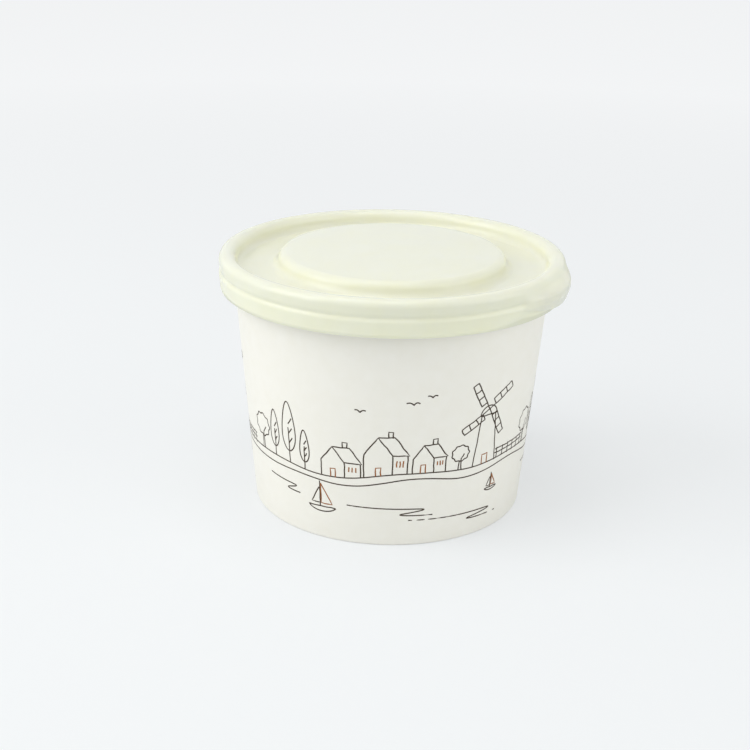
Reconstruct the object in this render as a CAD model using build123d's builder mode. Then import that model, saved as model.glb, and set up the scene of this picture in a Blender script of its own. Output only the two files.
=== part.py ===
# Round paper soup bowl: a board cone with a rolled rim, a crimped-in bottom disc and a press-on lid.
from build123d import *
import os
from math import cos, degrees, radians, sin, tan

# Bowl: height over the rim, diameter of the foot, lean of the wall from upright, board and glue
bowl_height = 74.7
foot_diameter = 80.0
wall_lean = 5.0
board = 0.4
glue_line = 0.05

# Rolled rim: the curled board, drawn as one bead with flats
rim_roll_diameter = 3.1
roll_flats = 8

# Foot: the wall's lower edge is folded in and up round the down-turned edge of the bottom disc
foot_fold_height = 5.8
floor_height = 7.6

# Side seam: the blank's two ends lap and are sealed, at the back of the bowl
seam_lap = 8.0
seam_ramp = 2.5
seam_bearing = 84.0

# Lid: wall, the room it leaves to the bowl, and the section from the panel out to the skirt
lid_wall = 0.45
lid_seat_clearance = 0.2
lid_side_clearance = 0.25
lid_snap_clearance = 0.2
panel_drop = 0.15
panel_draft = 0.5
groove_width = 12.0
groove_depth = 4.5
rim_edge_chamfer = 0.5
skirt_height = 10.2
snap_bead_depth = 0.45
snap_bead_height = 1.8
snap_bead_drop = 4.75
skirt_flare = 0.1
skirt_draft = 0.45

# Lift tab: a shallow thumb hood that swells out of the skirt at the front right
tab_bearing = -23.0
tab_reach = 2.3
tab_round_radius = 34.0
tab_draft = 12.0
tab_drop = 4.2
tab_height = 4.8
tab_width = 39.0
tab_shoulder = 0.6
tab_corner_radius = 4.5

# Sizes that follow
lean = radians(wall_lean)
foot_radius = foot_diameter / 2
half_board = board / 2


def wall_point(height, depth):
    """Radius and height of a point of the sloping wall, a depth in from its printed face."""
    return (foot_radius + height * tan(lean) - depth / cos(lean), height)


def around(radius, bearing):
    """Point in plan at a radius and a bearing in degrees."""
    return (radius * cos(radians(bearing)), radius * sin(radians(bearing)))


os.makedirs("parts", exist_ok=True)

# Sidewall: a board blank wound to a cone, rolled out at the rim, folded in at the foot and lapped at the seam
roll_radius = rim_roll_diameter / 2
roll_height = bowl_height - roll_radius
roll_middle = wall_point(roll_height, board - roll_radius)[0]
flat_turn = 360 / roll_flats
roll_corner_radius = roll_radius / cos(radians(flat_turn / 2))
half_flat = roll_radius * tan(radians(flat_turn / 2))
fold_depth = 3 * board + 2 * glue_line


def roll_corner(count):
    """Corner of the rolled rim's section, counted clockwise from the end of its top flat."""
    out, up = around(roll_corner_radius, 90 + flat_turn / 2 - flat_turn * count)
    return (roll_middle + out, roll_height + up)


def lap_plan(height):
    """Plan of the seam's outer ply at a height: a ramp off the inner ply, then full board to a square edge."""
    radius = wall_point(height, 0)[0]
    ramp_start = seam_bearing - degrees(seam_ramp / radius)
    outer_edge = seam_bearing + degrees(seam_lap / radius)
    with BuildLine() as plan:
        ply = CenterArc((0, 0), radius + board, seam_bearing, outer_edge - seam_bearing)
        root = CenterArc((0, 0), radius - half_board, ramp_start, outer_edge - ramp_start)
        Polyline(root @ 0, around(radius, ramp_start), ply @ 0)
        Line(ply @ 1, root @ 1)
    return plan.edges()


with BuildPart() as sidewall:
    with BuildSketch(Plane.XZ):
        with BuildLine():
            Polyline(
                wall_point(0, 0),
                wall_point(0, fold_depth),
                wall_point(foot_fold_height, fold_depth),
                wall_point(foot_fold_height, fold_depth - board),
                wall_point(board, fold_depth - board),
                wall_point(board, board),
                wall_point(roll_height + half_flat, board),
                *[roll_corner(count) for count in range(roll_flats - 2)],
                wall_point(roll_height - half_flat, 0),
                close=True,
            )
        make_face()
    revolve(axis=Axis.Z)
    for height in (0, roll_height):
        with BuildSketch(Plane.XY.offset(height)):
            make_face(lap_plan(height))
    loft(ruled=True)
sidewall.part.label = "sidewall"
export_step(sidewall.part, "parts/sidewall.step")

# Bottom disc: a board disc whose edge is turned down between the wall and its fold
disc_edge_depth = board + glue_line
with BuildPart() as bottom_disc:
    with BuildSketch(Plane.XZ):
        with BuildLine():
            Polyline(
                (0, floor_height),
                wall_point(floor_height, disc_edge_depth),
                wall_point(board + glue_line, disc_edge_depth),
            )
            offset(amount=board, side=Side.RIGHT, kind=Kind.INTERSECTION)
        make_face()
    revolve(axis=Axis.Z)
bottom_disc.part.label = "bottom_disc"
export_step(bottom_disc.part, "parts/bottom_disc.step")

# Lid: one moulded wall, followed along its outer face from the middle of the panel to the skirt's edge
lid_top = bowl_height + lid_seat_clearance + lid_wall
panel_top = lid_top - panel_drop
groove_floor = lid_top - groove_depth
plug_depth = board + lid_side_clearance + lid_wall
plug_foot = wall_point(groove_floor, plug_depth)
panel_foot_radius = plug_foot[0] - groove_width
bead_radius = roll_middle + roll_radius + lid_snap_clearance + lid_wall
bead_middle = lid_top - snap_bead_drop
skirt_radius = bead_radius + snap_bead_depth
skirt_outline = [
    (skirt_radius, lid_top),
    (skirt_radius, bead_middle + snap_bead_height / 2),
    (bead_radius, bead_middle),
    (skirt_radius + skirt_flare, bead_middle - snap_bead_height / 2),
    (skirt_radius + skirt_flare - skirt_draft, lid_top - skirt_height),
]

# Lift tab: a hood with a round front, ends and a roof, open below and trimmed inside the skirt's wall
tab_top = lid_top - tab_drop
tab_foot = tab_top - tab_height
tab_outer_radius = skirt_radius + tab_reach
tab_foot_radius = tab_round_radius - tab_height * tan(radians(tab_draft))
hood_centre = around(tab_outer_radius - tab_round_radius, tab_bearing)
hood_plane = Plane(origin=hood_centre, x_dir=around(1, tab_bearing), z_dir=around(1, tab_bearing - 90))
tab_plane = Plane(origin=(0, 0, 0), x_dir=around(1, tab_bearing + 90), z_dir=around(1, tab_bearing))
with BuildPart() as lift_tab:
    with BuildSketch(hood_plane):
        with BuildLine():
            Polyline(
                (0, tab_top),
                (tab_round_radius - tab_shoulder, tab_top),
                (tab_round_radius, tab_top - tab_shoulder),
                (tab_foot_radius, tab_foot),
                (0, tab_foot),
                close=True,
            )
        make_face()
    revolve(axis=Axis(hood_centre, (0, 0, 1)))
    with BuildSketch(tab_plane):
        with Locations((0, tab_top)):
            RectangleRounded(tab_width, 2 * tab_height, tab_corner_radius)
    extrude(amount=tab_outer_radius, mode=Mode.INTERSECT)
    with BuildSketch(Plane.XY.offset(tab_top - lid_wall)):
        with Locations(hood_centre):
            Circle(tab_foot_radius - lid_wall)
        with Locations(Location((0, 0), tab_bearing)):
            Rectangle(2 * tab_outer_radius, tab_width - 2 * lid_wall, mode=Mode.INTERSECT)
    extrude(amount=-tab_height, mode=Mode.SUBTRACT)
    with BuildSketch(Plane.XZ):
        with BuildLine():
            Polyline(
                (0, lid_top),
                *[(radius - lid_wall / 2, height) for radius, height in skirt_outline],
                (0, lid_top - skirt_height),
                close=True,
            )
        make_face()
    revolve(axis=Axis.Z, mode=Mode.SUBTRACT)

with BuildPart() as lid:
    with BuildSketch(Plane.XZ) as section:
        with BuildLine():
            Polyline(
                (0, panel_top),
                (panel_foot_radius - panel_draft, panel_top),
                (panel_foot_radius, groove_floor),
                plug_foot,
                wall_point(lid_top, plug_depth),
                *skirt_outline,
            )
            offset(amount=lid_wall, side=Side.RIGHT, kind=Kind.INTERSECTION)
        make_face()
        chamfer(section.vertices().group_by(Axis.Y)[-1], rim_edge_chamfer)
    revolve(axis=Axis.Z)
    add(lift_tab.part)
lid.part.label = "lid"
export_step(lid.part, "parts/lid.step")
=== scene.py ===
import math
import random
import bmesh
import bpy
from mathutils import Matrix, Vector


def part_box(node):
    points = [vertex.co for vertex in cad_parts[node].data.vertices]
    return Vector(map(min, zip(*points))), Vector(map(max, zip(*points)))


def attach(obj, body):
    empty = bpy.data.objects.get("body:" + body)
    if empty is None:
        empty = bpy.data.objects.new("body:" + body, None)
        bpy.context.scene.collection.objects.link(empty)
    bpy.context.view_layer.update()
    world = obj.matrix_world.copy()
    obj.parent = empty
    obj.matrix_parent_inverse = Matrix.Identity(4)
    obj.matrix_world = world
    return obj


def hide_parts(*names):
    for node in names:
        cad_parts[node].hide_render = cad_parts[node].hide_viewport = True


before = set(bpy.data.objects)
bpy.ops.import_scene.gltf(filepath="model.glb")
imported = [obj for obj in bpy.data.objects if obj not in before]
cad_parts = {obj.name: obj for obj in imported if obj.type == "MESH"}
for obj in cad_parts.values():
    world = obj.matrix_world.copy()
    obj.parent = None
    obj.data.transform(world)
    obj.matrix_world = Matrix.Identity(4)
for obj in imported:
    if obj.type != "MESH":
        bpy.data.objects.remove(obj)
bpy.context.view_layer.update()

# Bowl wall: one blank of coated paperboard wound to a cone. Its lower edge is folded in and up round
# the bottom disc, and its upper edge is curled outwards into a hollow roll. The sheet is drawn along
# its middle, turned about the bowl's axis and given the board's thickness.
mm = 0.001
foot_radius = 40 * mm
wall_lean = math.radians(5)
board = 0.4 * mm
glue_line = 0.05 * mm
fold_height = 5.8 * mm
roll_radius = 1.55 * mm
roll_sweep = math.radians(335)
roll_steps = 28
fold_steps = 8
turns_round = 360
weld_distance = 0.002 * mm
foot_clearance = 0.002 * mm
nearly = 0.99
bowl_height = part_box("sidewall")[1].z
roll_height = bowl_height - roll_radius
wall_depth = board / 2
disc_depth = wall_depth + board + glue_line
fold_depth = disc_depth + board + glue_line


def wall_radius(height, depth):
    """Radius of the sloping wall at a height, a depth in from its printed face."""
    return foot_radius + height * math.tan(wall_lean) - depth / math.cos(wall_lean)


def chain(mesh, points):
    """Joins points of a section, given as radius and height, by a row of edges."""
    verts = [mesh.verts.new((radius, 0, height)) for radius, height in points]
    for first, second in zip(verts, verts[1:]):
        mesh.edges.new((first, second))
    return verts


def turn_full(mesh):
    """Turns a section once round the bowl's axis and closes the seam and the pole."""
    section = mesh.verts[:] + mesh.edges[:]
    bmesh.ops.spin(mesh, geom=section, cent=(0, 0, 0), axis=(0, 0, 1), dvec=(0, 0, 0),
                   angle=math.tau, steps=turns_round, use_merge=True)
    bmesh.ops.remove_doubles(mesh, verts=mesh.verts[:], dist=weld_distance)
    bmesh.ops.recalc_face_normals(mesh, faces=mesh.faces[:])


def make_piece(name, mesh, body, materials):
    """Turns a finished bmesh into a smooth-shaded piece that moves with a body."""
    data = bpy.data.meshes.new(name)
    mesh.to_mesh(data)
    mesh.free()
    data.shade_smooth()
    piece = bpy.data.objects.new(name, data)
    bpy.context.scene.collection.objects.link(piece)
    for material in materials:
        data.materials.append(material)
    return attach(piece, body)


def add_wall(piece, thickness, offset):
    """Gives a sheet its thickness, with its edges closed."""
    wall = piece.modifiers.new("thickness", "SOLIDIFY")
    wall.thickness = thickness
    wall.offset = offset


def colour(code):
    """Linear colour of an sRGB hex code."""
    parts = [int(code[place:place + 2], 16) / 255 for place in (1, 3, 5)]
    return [*(part / 12.92 if part <= 0.04045 else ((part + 0.055) / 1.055) ** 2.4 for part in parts), 1]


def add_node(material, kind, settings, inputs):
    """Adds a node with its settings, and sets or links its inputs."""
    made = material.node_tree.nodes.new(kind)
    for name, value in settings.items():
        setattr(made, name, value)
    for name, value in inputs.items():
        if isinstance(value, bpy.types.NodeSocket):
            material.node_tree.links.new(value, made.inputs[name])
        else:
            made.inputs[name].default_value = value
    return made


def new_material(name):
    """A material with an empty node tree, and its object coordinates in metres."""
    material = bpy.data.materials.new(name)
    material.use_nodes = True
    material.node_tree.nodes.clear()
    place = add_node(material, "ShaderNodeTexCoord", {}, {}).outputs["Object"]
    return material, place


# Coated cup board, extruded film over bleached pulp: a clean warm white with a faint cloudy formation,
# a soft satin sheen from the film and a very slight tooth from the fibres below it. The fibre tooth is
# drawn at about three times its real width so that it shows.
board_white = colour("#F9F6EE")
board_cloud = colour("#F5F1E6")
cloud_size = 3.5 * mm
fibre_size = 0.6 * mm
fibre_depth = 0.02 * mm
coated_board, place = new_material("coated_cup_board_satin")
cloud = add_node(coated_board, "ShaderNodeTexNoise", {},
                 {"Vector": place, "Scale": 1 / cloud_size, "Detail": 3})
tint = add_node(coated_board, "ShaderNodeMix", {"data_type": "RGBA"},
                {0: cloud.outputs["Fac"], 6: board_white, 7: board_cloud})
fibre = add_node(coated_board, "ShaderNodeTexNoise", {},
                 {"Vector": place, "Scale": 1 / fibre_size, "Detail": 4})
tooth = add_node(coated_board, "ShaderNodeBump", {},
                 {"Strength": 0.25, "Distance": fibre_depth, "Height": fibre.outputs["Fac"]})
sheen = add_node(coated_board, "ShaderNodeMapRange", {},
                 {"Value": cloud.outputs["Fac"], "To Min": 0.42, "To Max": 0.55})
paper = add_node(coated_board, "ShaderNodeBsdfPrincipled", {},
                 {"Base Color": tint.outputs[2], "Roughness": sheen.outputs["Result"], "IOR": 1.5,
                  "Normal": tooth.outputs["Normal"]})
add_node(coated_board, "ShaderNodeOutputMaterial", {}, {"Surface": paper.outputs["BSDF"]})

# The same board where the crimping tool has pressed the fold: upright ribs round the foot's inside, with a
# little painted shade in their hollows, a slightly darker and creamier white
rib_count = 120
rib_depth = 0.15 * mm
rib_bump = 0.1 * mm
crimped_board, place = new_material("coated_cup_board_crimped")
parts = add_node(crimped_board, "ShaderNodeSeparateXYZ", {}, {"Vector": place})
bearing = add_node(crimped_board, "ShaderNodeMath", {"operation": "ARCTAN2"},
                   {0: parts.outputs["Y"], 1: parts.outputs["X"]})
turned = add_node(crimped_board, "ShaderNodeMath", {"operation": "MULTIPLY"},
                  {0: bearing.outputs["Value"], 1: rib_count})
ribs = add_node(crimped_board, "ShaderNodeMath", {"operation": "COSINE"}, {0: turned.outputs["Value"]})
pressed = add_node(crimped_board, "ShaderNodeBump", {},
                   {"Strength": 0.6, "Distance": rib_bump, "Height": ribs.outputs["Value"]})
# Painted shade: the rib hollows get the darker, creamier white
hollow_shade = add_node(crimped_board, "ShaderNodeMapRange", {},
                   {"Value": ribs.outputs["Value"], "From Min": -1})
tint = add_node(crimped_board, "ShaderNodeMix", {"data_type": "RGBA"},
                {0: hollow_shade.outputs["Result"], 6: board_cloud, 7: board_white})
paper = add_node(crimped_board, "ShaderNodeBsdfPrincipled", {},
                 {"Base Color": tint.outputs[2], "Roughness": 0.5, "IOR": 1.5,
                  "Normal": pressed.outputs["Normal"]})
add_node(crimped_board, "ShaderNodeOutputMaterial", {}, {"Surface": paper.outputs["BSDF"]})

section = bmesh.new()
turn_height = foot_clearance + board / 2 + (fold_depth - wall_depth) / 2
fold_foot = chain(section, [(wall_radius(fold_height, fold_depth), fold_height),
                            (wall_radius(turn_height, fold_depth), turn_height)])[-1]
turn_centre = (wall_radius(turn_height, (fold_depth + wall_depth) / 2), 0, turn_height)
turned = bmesh.ops.spin(section, geom=[fold_foot], cent=turn_centre, axis=(0, 1, 0), dvec=(0, 0, 0),
                        angle=-math.pi, steps=fold_steps)
wall_foot = next(part for part in turned["geom_last"] if isinstance(part, bmesh.types.BMVert))
wall_top = section.verts.new((wall_radius(roll_height, wall_depth), 0, roll_height))
section.edges.new((wall_foot, wall_top))
roll_centre = (wall_top.co.x + roll_radius - wall_depth, 0, roll_height)
bmesh.ops.spin(section, geom=[wall_top], cent=roll_centre, axis=(0, 1, 0), dvec=(0, 0, 0),
               angle=roll_sweep, steps=roll_steps)
turn_full(section)
for vert in section.verts:
    radius = vert.co.xy.length
    if vert.co.z > nearly * turn_height and radius < wall_radius(vert.co.z, disc_depth):
        wave = math.cos(rib_count * math.atan2(vert.co.y, vert.co.x))
        vert.co.xy *= 1 - rib_depth * (1 + wave) / 2 / radius
for face in section.faces:
    middle = face.calc_center_median()
    if middle.z < fold_height and middle.xy.length < wall_radius(middle.z, disc_depth):
        face.material_index = 1
bowl_wall = make_piece("bowl_wall", section, "bowl", [coated_board, crimped_board])
add_wall(bowl_wall, board, 0)
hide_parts("sidewall")

# Side seam: the blank's outer end, which climbs over the inner end on a short ramp and is heat-sealed
# to it down the back of the bowl. Its cut edge stands square to the wall by one board.
seam_bearing = math.radians(84)
seam_lap = 8 * mm
seam_ramp = 2.5 * mm
lap_foot = 0.4 * mm
lap_points = 8


def lap_corner(height, along, depth):
    """Point of the lap, a length along the wall from the inner end and a depth in from the printed face."""
    bearing = seam_bearing + along / wall_radius(height, 0)
    radius = wall_radius(height, depth)
    return Vector((radius * math.cos(bearing), radius * math.sin(bearing), height))


# Bleached board where the knife has cut it: no film, so it is matt, a little creamier and fibrous
edge_pulp = colour("#E6DFCB")
edge_fibre = colour("#D3C8AE")
nap_depth = 0.05 * mm
cut_board, place = new_material("bleached_board_cut_edge")
strands = add_node(cut_board, "ShaderNodeTexNoise", {},
                   {"Vector": place, "Scale": 1 / fibre_size, "Detail": 4})
tint = add_node(cut_board, "ShaderNodeMix", {"data_type": "RGBA"},
                {0: strands.outputs["Fac"], 6: edge_pulp, 7: edge_fibre})
nap = add_node(cut_board, "ShaderNodeBump", {},
               {"Strength": 0.5, "Distance": nap_depth, "Height": strands.outputs["Fac"]})
paper = add_node(cut_board, "ShaderNodeBsdfPrincipled", {},
                 {"Base Color": tint.outputs[2], "Roughness": 0.85, "Normal": nap.outputs["Normal"]})
add_node(cut_board, "ShaderNodeOutputMaterial", {}, {"Surface": paper.outputs["BSDF"]})

lap_path = [(-seam_ramp, wall_depth), (-seam_ramp, 0)]
lap_path += [(seam_lap * count / lap_points, -board) for count in range(lap_points + 1)]
lap_path += [(seam_lap * count / lap_points, wall_depth) for count in range(lap_points, -1, -1)]
ply = bmesh.new()
foot_end = ply.faces.new([ply.verts.new(lap_corner(lap_foot, *spot)) for spot in lap_path])
raised = bmesh.ops.extrude_face_region(ply, geom=[foot_end], use_keep_orig=True)
rim_verts = [part for part in raised["geom"] if isinstance(part, bmesh.types.BMVert)]
for vert, spot in zip(rim_verts, lap_path):
    vert.co = lap_corner(roll_height, *spot)
bmesh.ops.recalc_face_normals(ply, faces=ply.faces[:])
for face in ply.faces:
    middle = face.calc_center_median()
    past_start = (math.atan2(middle.y, middle.x) - seam_bearing) * middle.xy.length
    if past_start > nearly * seam_lap:
        face.material_index = 1
seam_ply = make_piece("seam_ply", ply, "bowl", [coated_board, cut_board])
seam_ply.data.shade_flat()

# Bottom disc: a round blank of the same board, its edge turned down and crimped between the wall and
# its fold, so that the floor stands clear of the table.
floor_height = 7.6 * mm
disc_bend = 0.9 * mm
bend_segments = 6
floor_middle = floor_height - board / 2
disc_foot = board + glue_line
section = bmesh.new()
corner = chain(section, [(0, floor_middle), (wall_radius(floor_middle, disc_depth), floor_middle),
                         (wall_radius(disc_foot, disc_depth), disc_foot)])[1]
bmesh.ops.bevel(section, geom=[corner], offset=disc_bend, affect="VERTICES", segments=bend_segments,
                profile=0.5, material=-1)
turn_full(section)
floor_disc = make_piece("floor_disc", section, "bowl", [coated_board])
add_wall(floor_disc, board, 0)
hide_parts("bottom_disc")

# Print: a pen drawing of a lakeside hamlet in brown ink, printed on the flat blank before it is wound.
# Each pen line is drawn on the unrolled wall, in millimetres from the front and up from the foot, made
# a tube, pressed flat and laid on the cone. It stops short of the seam.
ink_width = 0.37 * mm
ink_lift = 0.02 * mm
ink_flatness = 0.08
pen_step = 1.5
pen_waver = 0.1
print_height = 24 * mm
print_radius = wall_radius(print_height, 0)
print_start = -124
print_end = 120
hand = random.Random(5)

# Flexographic ink, water based, on coated board: a thin brown film that dries matt and a little uneven
sepia_dark = colour("#241603")
sepia_thin = colour("#432C0C")
rust_dark = colour("#84440E")
rust_thin = colour("#B26E2A")
ink_patch = 2 * mm
inks = {}
for ink, dark, thin in (("sepia", sepia_dark, sepia_thin), ("rust", rust_dark, rust_thin)):
    film, place = new_material(f"{ink}_flexographic_ink_matt")
    density = add_node(film, "ShaderNodeTexNoise", {},
                       {"Vector": place, "Scale": 1 / ink_patch, "Detail": 3})
    tint = add_node(film, "ShaderNodeMix", {"data_type": "RGBA"},
                    {0: density.outputs["Fac"], 6: dark, 7: thin})
    coat = add_node(film, "ShaderNodeBsdfPrincipled", {},
                    {"Base Color": tint.outputs[2], "Roughness": 0.6})
    add_node(film, "ShaderNodeOutputMaterial", {}, {"Surface": coat.outputs["BSDF"]})
    lines = bpy.data.curves.new(f"{ink}_lines", "CURVE")
    lines.dimensions = "3D"
    lines.bevel_depth = ink_width / 2
    lines.bevel_resolution = 1
    lines.use_fill_caps = True
    lines.resolution_u = 6
    inks[ink] = (lines, film)


def pen_line(ink, points, curved=False, closed=False):
    """Draws one pen line through points in millimetres, straight or as a smooth curve."""
    if not curved:
        runs = []
        for (x, z), (next_x, next_z) in zip(points, points[1:]):
            steps = math.ceil(math.dist((x, z), (next_x, next_z)) / pen_step)
            runs += [(x + (next_x - x) * k / steps, z + (next_z - z) * k / steps) for k in range(steps)]
        points = runs + [points[-1]]
    line = inks[ink][0].splines.new("NURBS" if curved else "POLY")
    line.points.add(len(points) - 1)
    for point, (x, z) in zip(line.points, points):
        waver = [hand.uniform(-pen_waver, pen_waver) for side in "xz"]
        point.co = ((x + waver[0]) * mm, (z + waver[1]) * mm, 0, 1)
    line.use_cyclic_u = closed
    if curved:
        line.order_u = 4
        line.use_endpoint_u = not closed


def bank(x):
    """Height of the lake's bank at a place round the bowl."""
    return 22 + 1.1 * math.sin(x / 17) + 0.7 * math.sin(x / 6.5 + 1)


def cottage(x, width, wall, roof, depth):
    """A gabled cottage seen from a corner, with a chimney, a door and a row of panes."""
    left, right, far = x - width / 2, x + width / 2, x + width / 2 + depth
    ground = bank(x)
    eave, ridge = ground + wall, ground + wall + roof
    pen_line("sepia", [(left, bank(left)), (left, eave), (x, ridge), (right, eave),
                       (right, bank(right))])
    pen_line("sepia", [(x, ridge), (x + depth, ridge + 0.2), (far, eave), (right, eave)])
    pen_line("sepia", [(far - 0.4, eave), (far - 0.4, bank(far))])
    stack = x + depth * 0.6
    pen_line("sepia", [(stack, ridge), (stack, ridge + 1.8), (stack + 1.3, ridge + 1.8),
                       (stack + 1.3, ridge)])
    pen_line("rust", [(x - 0.7, ground), (x - 0.7, ground + 2.6), (x + 0.7, ground + 2.7),
                      (x + 0.7, ground)])
    for share in (0.25, 0.45, 0.65):
        pane = right + depth * share
        pen_line("rust", [(pane, ground + wall * 0.45), (pane, ground + wall * 0.75)])


def poplar(x, height):
    """A tall slim tree: a pointed crown, its stem and a few strokes of leaves."""
    ground = bank(x)
    half = height * 0.13
    low, high = ground + height * 0.3, ground + height * 0.6
    crown = [(x, ground + height * 0.12), (x - half, low), (x - half, high),
             (x, ground + height * 1.12), (x + half, high), (x + half, low)]
    pen_line("sepia", crown, curved=True, closed=True)
    pen_line("sepia", [(x, ground), (x, ground + height * 0.55)])
    for share in (0.3, 0.45, 0.6):
        leaf = ground + height * share
        pen_line("sepia", [(x, leaf), (x + half * 0.5, leaf + height * 0.1)])


def round_tree(x, size):
    """A broad tree with a lobed crown on a short trunk."""
    ground = bank(x)
    lobes = 18
    crown = []
    for k in range(lobes):
        turn = math.tau * k / lobes
        swell = 0.09 * (-1) ** k
        crown.append((x + size * (0.55 + swell) * math.cos(turn),
                      ground + size * (1.05 + (0.5 + swell) * math.sin(turn))))
    pen_line("sepia", crown, curved=True, closed=True)
    pen_line("sepia", [(x - 0.4, ground), (x - 0.3, ground + size * 0.62)])
    pen_line("sepia", [(x + 0.5, ground), (x + 0.3, ground + size * 0.7), (x + size * 0.25, ground + size)])


def windmill(x, height, blade):
    """A post windmill with a domed cap and four latticed sails."""
    ground = bank(x)
    hub = (x, ground + height)
    for side in (-1, 1):
        pen_line("sepia", [(x + side * height * 0.24, ground),
                           (x + side * height * 0.15, ground + height * 0.9)])
    cap = [(x - height * 0.17, ground + height * 0.9), (x - height * 0.16, ground + height * 1.12),
           (x + height * 0.16, ground + height * 1.12), (x + height * 0.17, ground + height * 0.9)]
    pen_line("sepia", cap, curved=True)
    pen_line("sepia", [cap[0], cap[-1]])
    pen_line("rust", [(x - 1, ground), (x - 1, ground + 3), (x + 1, ground + 3.1), (x + 1, ground)])
    for quarter in range(4):
        turn = math.radians(28 + 90 * quarter)
        along = Vector((math.cos(turn), math.sin(turn)))
        across = Vector((-math.sin(turn), math.cos(turn))) * blade * 0.2
        spar = [Vector(hub) + along * blade * share for share in (0, 0.25, 0.5, 0.75, 1)]
        pen_line("sepia", [spar[0], spar[-1]])
        pen_line("sepia", [spar[1] + across, spar[-1] + across])
        for rung in spar[1:]:
            pen_line("sepia", [rung, rung + across])


def sailboat(x, water, size):
    """A small boat with a mast and two sails."""
    hull = [(x - size * 0.6, water + size * 0.22), (x - size * 0.4, water - size * 0.05),
            (x + size * 0.4, water - size * 0.05), (x + size * 0.65, water + size * 0.26)]
    pen_line("sepia", hull, curved=True)
    pen_line("sepia", [hull[0], hull[-1]])
    mast = x - size * 0.05
    pen_line("sepia", [(mast, water + size * 0.25), (mast, water + size * 1.4)])
    boom = water + size * 0.4
    pen_line("rust", [(mast + 0.3, water + size * 1.3), (mast + 0.3, boom), (mast + size * 0.55, boom),
                      (mast + 0.3, water + size * 1.3)])
    pen_line("sepia", [(mast - 0.3, water + size * 1.1), (mast - size * 0.4, boom), (mast - 0.3, boom)])


def fence(x, span, height):
    """A field fence: posts and two rails."""
    ground = bank(x)
    start, end = x - span / 2, x + span / 2
    post_gap = 2.6
    for count in range(math.floor((end - start) / post_gap) + 1):
        post = start + post_gap * count
        pen_line("sepia", [(post, ground - 0.4), (post, ground + height)])
    for share in (0.45, 0.85):
        rail = ground + height * share
        pen_line("sepia", [(start - 0.8, rail), (end + 0.8, rail + 0.3)])


def ripple(x, span, water):
    """A slow line of water that swings back on itself."""
    start, end = x - span / 2, x + span / 2
    pen_line("sepia", [(start, water + 1.2), (start + span * 0.35, water + 0.8), (end, water + 0.9),
                       (start + span * 0.6, water - 0.6), (start + span * 0.45, water - 1.4),
                       (start + span * 0.9, water - 1.6)], curved=True)


def gull(x, height, size):
    """A far bird: two short curved wings."""
    left = [(x - size, height + size * 0.4), (x - size * 0.4, height + size * 0.6), (x, height)]
    right = [(x, height), (x + size * 0.4, height + size * 0.7), (x + size, height + size * 0.3)]
    pen_line("sepia", left, curved=True)
    pen_line("sepia", right, curved=True)


# The hamlet: each motif, its place from the middle, the room it needs on each side and its sizes, in
# millimetres. It comes three times round the bowl, above one line of bank and one of shore.
hamlet_middles = (-96, 0, 92)
station_step = 4
shore_drop = 2.2
hamlet = (
    (windmill, 29, 11, (17, 10)),
    (cottage, -16, 9, (7, 5, 4.5, 5)),
    (cottage, -3, 9, (8, 6.5, 5.5, 4.5)),
    (cottage, 9.5, 7, (6, 4.5, 4, 4)),
    (poplar, -36.5, 2, (15,)),
    (poplar, -30.5, 3, (20,)),
    (poplar, -25, 2, (13,)),
    (round_tree, 20.5, 3.5, (5,)),
    (round_tree, -43, 5, (7,)),
    (fence, 40.5, 8, (13, 3)),
    (sailboat, -20, 5, (8.5, 7)),
    (sailboat, 33, 3, (13, 4)),
    (ripple, 2, 14, (28, 11)),
    (ripple, 23, 17, (34, 7)),
    (ripple, -33, 7, (14, 14)),
    (gull, 6, 2, (44, 1.8)),
    (gull, 11, 2, (46, 1.4)),
    (gull, -8, 2, (41.5, 1.5)),
)
stations = range(print_start, print_end + 1, station_step)
pen_line("sepia", [(x, bank(x)) for x in stations], curved=True)
pen_line("sepia", [(x, bank(x) - shore_drop + 0.5 * math.sin(x / 5)) for x in stations], curved=True)
for middle in hamlet_middles:
    for motif, x, room, sizes in hamlet:
        if print_start <= middle + x - room and middle + x + room <= print_end:
            motif(middle + x, *sizes)

for ink, (lines, film) in inks.items():
    flat = bpy.data.objects.new(lines.name, lines)
    tubes = bpy.data.meshes.new_from_object(flat)
    bpy.data.objects.remove(flat)
    drawing = bmesh.new()
    drawing.from_mesh(tubes)
    for vert in drawing.verts:
        bearing = vert.co.x / print_radius - math.pi / 2
        out = wall_radius(vert.co.y, 0) + ink_lift + vert.co.z * ink_flatness
        vert.co = (out * math.cos(bearing), out * math.sin(bearing), vert.co.y)
    printed = make_piece(f"{ink}_print", drawing, "bowl", [film])

# Lid: one moulding of natural polypropylene. A raised panel stands in a sunk groove, the groove's outer
# wall plugs the bowl's mouth and the rim's channel covers the roll. A crease in the skirt grips below the
# roll, and a shallow hood, open below, swells out of the skirt as a tab for the thumb.
lid_wall = 0.45 * mm
lid_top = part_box("lid")[1].z
panel_top = lid_top - 0.15 * mm
riser_lean = 0.5 * mm
groove_width = 12 * mm
groove_floor = lid_top - 4.5 * mm
plug_clearance = 0.25 * mm
plug_depth = board + plug_clearance + lid_wall
panel_radius = wall_radius(groove_floor, plug_depth) - groove_width
roll_clearance = 0.2 * mm
crease_radius = roll_centre[0] + roll_radius + roll_clearance + lid_wall
crease_depth = 0.45 * mm
crease_height = lid_top - 4.75 * mm
crease_half = 0.9 * mm
skirt_radius = crease_radius + crease_depth
skirt_foot = lid_top - 10.2 * mm
skirt_flare = 0.1 * mm
skirt_draft = 0.45 * mm
tab_bearing = math.radians(-23)
tab_reach = 2.3 * mm
tab_round_radius = 34 * mm
tab_draft = math.tan(math.radians(18))
tab_half_width = 19.6 * mm
tab_end = 1.8 * mm
tab_step = 0.4 * mm
painted_shade_fade = 8 * mm
tab_top = lid_top - 1.2 * mm
tab_rise = 3.4 * mm
rise_row = lid_top - 2.9 * mm
tab_shoulder = lid_top - 6.2 * mm
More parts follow.
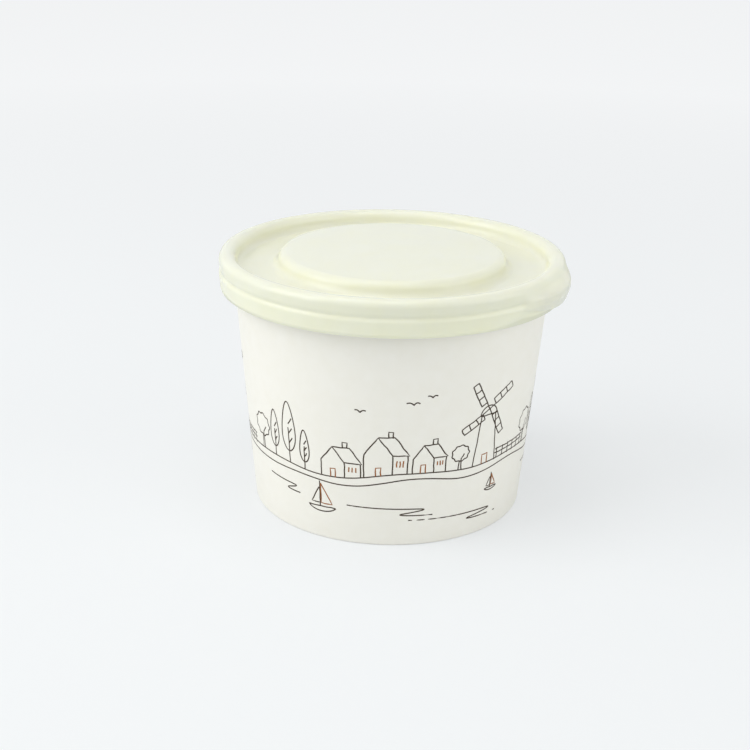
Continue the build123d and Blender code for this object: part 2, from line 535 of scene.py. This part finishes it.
tab_foot = lid_top - 9 * mm
tab_foot_arc = 71 * mm
run_out = 9 * mm
pocket_half_width = 12.5 * mm
row_margin = 0.01 * mm

# Natural polypropylene, injection moulded: milky and a little yellow, with light that spreads inside the
# thin wall and softens its edges, and a waxy satin gloss with faint flow ripples. On the hood a greyer
# colour is mixed in as painted shade, deeper lower down and fading out towards the hood's ends.
lid_milk = colour("#FAF8DC")
lid_flow = colour("#F6F3D0")
lid_painted_shade = colour("#ECEAD4")
light_spread = 1.3 * mm
flow_size = 9 * mm
wax_size = 1.2 * mm
wax_depth = 0.02 * mm
lid_plastic, place = new_material("natural_polypropylene_satin")
flow = add_node(lid_plastic, "ShaderNodeTexNoise", {},
                {"Vector": place, "Scale": 1 / flow_size, "Detail": 2})
tint = add_node(lid_plastic, "ShaderNodeMix", {"data_type": "RGBA"},
                {0: flow.outputs["Fac"], 6: lid_milk, 7: lid_flow})
# Painted shade on the hood: a greyer colour mixed in by a share stored on the mesh
hood_shade_mask = add_node(lid_plastic, "ShaderNodeAttribute", {"attribute_name": "hood_painted_shade"}, {})
shade = add_node(lid_plastic, "ShaderNodeMix", {"data_type": "RGBA"},
                 {0: hood_shade_mask.outputs["Fac"], 6: tint.outputs[2], 7: lid_painted_shade})
wax = add_node(lid_plastic, "ShaderNodeTexNoise", {},
               {"Vector": place, "Scale": 1 / wax_size, "Detail": 2})
waves = add_node(lid_plastic, "ShaderNodeBump", {},
                 {"Strength": 0.15, "Distance": wax_depth, "Height": wax.outputs["Fac"]})
gloss = add_node(lid_plastic, "ShaderNodeMapRange", {},
                 {"Value": flow.outputs["Fac"], "To Min": 0.17, "To Max": 0.26})
plastic = add_node(lid_plastic, "ShaderNodeBsdfPrincipled", {},
                   {"Base Color": shade.outputs[2], "Roughness": gloss.outputs["Result"], "IOR": 1.49,
                    "Subsurface Weight": 0.85, "Subsurface Radius": (1, 0.97, 0.8),
                    "Subsurface Scale": light_spread, "Normal": waves.outputs["Normal"]})
add_node(lid_plastic, "ShaderNodeOutputMaterial", {}, {"Surface": plastic.outputs["BSDF"]})


def skirt_face(height):
    """Radius of the skirt's outer face at a height below the crease."""
    crease_end = crease_height - crease_half
    return skirt_radius + skirt_flare - skirt_draft * (crease_end - height) / (crease_end - skirt_foot)


# The skirt's rows lie close together at the hood's foot, where its open edge is. The roundings are those
# of the mould's corners, in millimetres, from the middle of the panel outwards.
skirt_rows = [lid_top - drop * mm for drop in (6.4, 7.1, 7.8, 8.5, 8.9, 9, 9.06, 9.16, 10.2)]
roundings = (0, 2, 2, 1.8, 2.2, 2.1, 0, 0.5, 0.4, 0.5)
section = bmesh.new()
corners = chain(section, [
    (0, panel_top),
    (panel_radius - riser_lean, panel_top),
    (panel_radius + riser_lean, groove_floor),
    (wall_radius(groove_floor, plug_depth), groove_floor),
    (wall_radius(lid_top, plug_depth), lid_top),
    (skirt_radius, lid_top),
    (skirt_radius, rise_row),
    (skirt_radius, crease_height + crease_half),
    (crease_radius, crease_height),
    (skirt_radius + skirt_flare, crease_height - crease_half),
    *[(skirt_face(height), height) for height in skirt_rows],
])
for corner, rounding in zip(corners, roundings):
    if rounding:
        bmesh.ops.bevel(section, geom=[corner], offset=rounding * mm, affect="VERTICES",
                        segments=bend_segments, profile=0.5, material=-1)
turn_full(section)

# The skirt's rows are drawn up to the hood's bowed foot, and its face is pushed out to the hood's round
# front, with a small step at the ends. In the middle the skirt goes on behind, so that a pocket is left.
hood = {}
low_faces = set()
hood_painted_shade = section.verts.layers.float.new("hood_painted_shade")
tab_turn = Matrix.Rotation(tab_bearing, 3, "Z")
for vert in section.verts[:]:
    reach, across, height = tab_turn.transposed() @ vert.co
    side = abs(across)
    on_skirt = vert.co.xy.length > roll_centre[0] and reach > 0 and side < tab_half_width + run_out
    if not on_skirt or not skirt_foot + row_margin < height < tab_top:
        continue
    above_foot = height > tab_foot - row_margin
    if not above_foot:
        low_faces.update(vert.link_faces)
    if height < tab_shoulder:
        lift = min(side, tab_half_width) ** 2 / (2 * tab_foot_arc)
        lift *= min((tab_half_width + run_out - side) / run_out, 1)
        height += lift * min((tab_shoulder - height) / (tab_shoulder - tab_foot), 1)
        reach = math.sqrt(skirt_face(height) ** 2 - across ** 2)
        vert.co = tab_turn @ Vector((reach, across, height))
    if above_foot and side < tab_half_width:
        front_radius = tab_round_radius - max(0, tab_shoulder - height) * tab_draft
        front = skirt_radius + tab_reach - tab_round_radius + math.sqrt(front_radius ** 2 - across ** 2)
        front = max(front, math.sqrt((skirt_radius + tab_step) ** 2 - across ** 2))
        share = 1
        for rise in ((tab_top - height) / tab_rise, (tab_half_width - side) / tab_end):
            if rise < 1:
                share *= rise ** 2 * (3 - 2 * rise)
        moved = vert
        if side < pocket_half_width and height < tab_shoulder:
            moved = section.verts.new()
            hood[vert] = moved
        moved.co = tab_turn @ Vector((reach + (front - reach) * share, across, height))
        # How much painted shade the hood gets: more lower down, fading out towards its ends
        moved[hood_painted_shade] = math.sqrt(share) * min((tab_half_width - side) / painted_shade_fade, 1)
touching = [face for face in section.faces if not hood.keys().isdisjoint(face.verts)]
covered = [face for face in touching if face not in low_faces]
for face in covered:
    section.faces.new([hood.get(vert, vert) for vert in face.verts])
joined = [face for face in covered if not hood.keys() >= set(face.verts)]
bmesh.ops.delete(section, geom=joined, context="FACES")
lid = make_piece("lid_moulding", section, "lid", [lid_plastic])
add_wall(lid, lid_wall, -1)
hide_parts("lid")

# Studio: a pale, seamless paper sweep that the bowl stands on. It keeps the bowl's soft shadow, and glows
# a little to the camera, more so further away, so that it runs into the light tent behind.
floor_reach = 6000 * mm
floor_drop = 0.02 * mm
sweep_white = colour("#E4E7E8")
sweep_glow = colour("#FAFBFC")
shade_reach = 800 * mm
sweep, place = new_material("pale_paper_sweep")
far = add_node(sweep, "ShaderNodeVectorMath", {"operation": "LENGTH"}, {0: place})
fade = add_node(sweep, "ShaderNodeMapRange", {},
                {"Value": far.outputs["Value"], "From Max": shade_reach, "To Min": 0.45, "To Max": 0.85})
ray = add_node(sweep, "ShaderNodeLightPath", {}, {})
share = add_node(sweep, "ShaderNodeMath", {"operation": "MULTIPLY"},
                 {0: ray.outputs["Is Camera Ray"], 1: fade.outputs["Result"]})
paper = add_node(sweep, "ShaderNodeBsdfDiffuse", {}, {"Color": sweep_white})
glow = add_node(sweep, "ShaderNodeEmission", {}, {"Color": sweep_glow, "Strength": 1})
lit = add_node(sweep, "ShaderNodeMixShader", {},
               {0: share.outputs["Value"], 1: paper.outputs["BSDF"], 2: glow.outputs["Emission"]})
add_node(sweep, "ShaderNodeOutputMaterial", {}, {"Surface": lit.outputs["Shader"]})
ground = bmesh.new()
bmesh.ops.create_grid(ground, x_segments=1, y_segments=1, size=floor_reach,
                      matrix=Matrix.Translation((0, 0, -floor_drop)))
floor_data = bpy.data.meshes.new("studio_floor")
ground.to_mesh(floor_data)
ground.free()
floor_data.materials.append(sweep)
studio_floor = bpy.data.objects.new("studio_floor", floor_data)
bpy.context.scene.collection.objects.link(studio_floor)

# Light: an even, bright tent, with a broad soft lamp from the left that leaves the bowl's right side in
# shade, a weaker one from the right that lifts its edge, and one above for the lid.
lamp_size = 700 * mm
lamp_aim = Vector((0, 0, 40 * mm))
tent_white = colour("#F4F7F8")
tent = bpy.data.worlds.new("light_tent")
tent.use_nodes = True
tent.node_tree.nodes.clear()
ray = add_node(tent, "ShaderNodeLightPath", {}, {})
mirrored = add_node(tent, "ShaderNodeMath", {"operation": "ADD"},
                    {0: ray.outputs["Is Glossy Ray"], 1: ray.outputs["Is Transmission Ray"]})
seen = add_node(tent, "ShaderNodeMath", {"operation": "ADD", "use_clamp": True},
                {0: ray.outputs["Is Camera Ray"], 1: mirrored.outputs["Value"]})
strength = add_node(tent, "ShaderNodeMapRange", {},
                    {"Value": seen.outputs["Value"], "To Min": 0.62, "To Max": 1})
sky = add_node(tent, "ShaderNodeBackground", {},
               {"Color": tent_white, "Strength": strength.outputs["Result"]})
add_node(tent, "ShaderNodeOutputWorld", {}, {"Surface": sky.outputs["Background"]})
bpy.context.scene.world = tent

# Each lamp has a place in metres and a power in watts
for name, spot, energy in (
    ("left_softbox", (-0.75, -0.25, 0.55), 3.85),
    ("right_softbox", (0.8, -0.3, 0.3), 2),
    ("top_softbox", (-0.1, -0.1, 0.95), 2.4),
):
    lamp_data = bpy.data.lights.new(name, "AREA")
    lamp_data.shape = "SQUARE"
    lamp_data.size = lamp_size
    lamp_data.energy = energy
    lamp = bpy.data.objects.new(name, lamp_data)
    lamp.location = spot
    lamp.rotation_euler = (lamp_aim - lamp.location).to_track_quat("-Z", "Y").to_euler()
    bpy.context.scene.collection.objects.link(lamp)

# Camera: the photograph's view, from the front and a little above the rim. Its place, tilt, roll and focal
# length were found from the outlines of the bowl's rim, foot and lid.
frame_pixels = 750
focal_pixels = 1414.8
camera_data = bpy.data.cameras.new("camera")
camera_data.lens = camera_data.sensor_width * focal_pixels / frame_pixels
camera = bpy.data.objects.new("camera", camera_data)
tilt = math.radians(90 - 20.54)
roll = math.radians(1.13)
spot = Matrix.Translation((-4.35 * mm, -397.3 * mm, 185.2 * mm))
camera.matrix_world = spot @ Matrix.Rotation(tilt, 4, "X") @ Matrix.Rotation(roll, 4, "Z")
bpy.context.scene.collection.objects.link(camera)
bpy.context.scene.camera = camera
bpy.context.scene.view_settings.view_transform = "Standard"
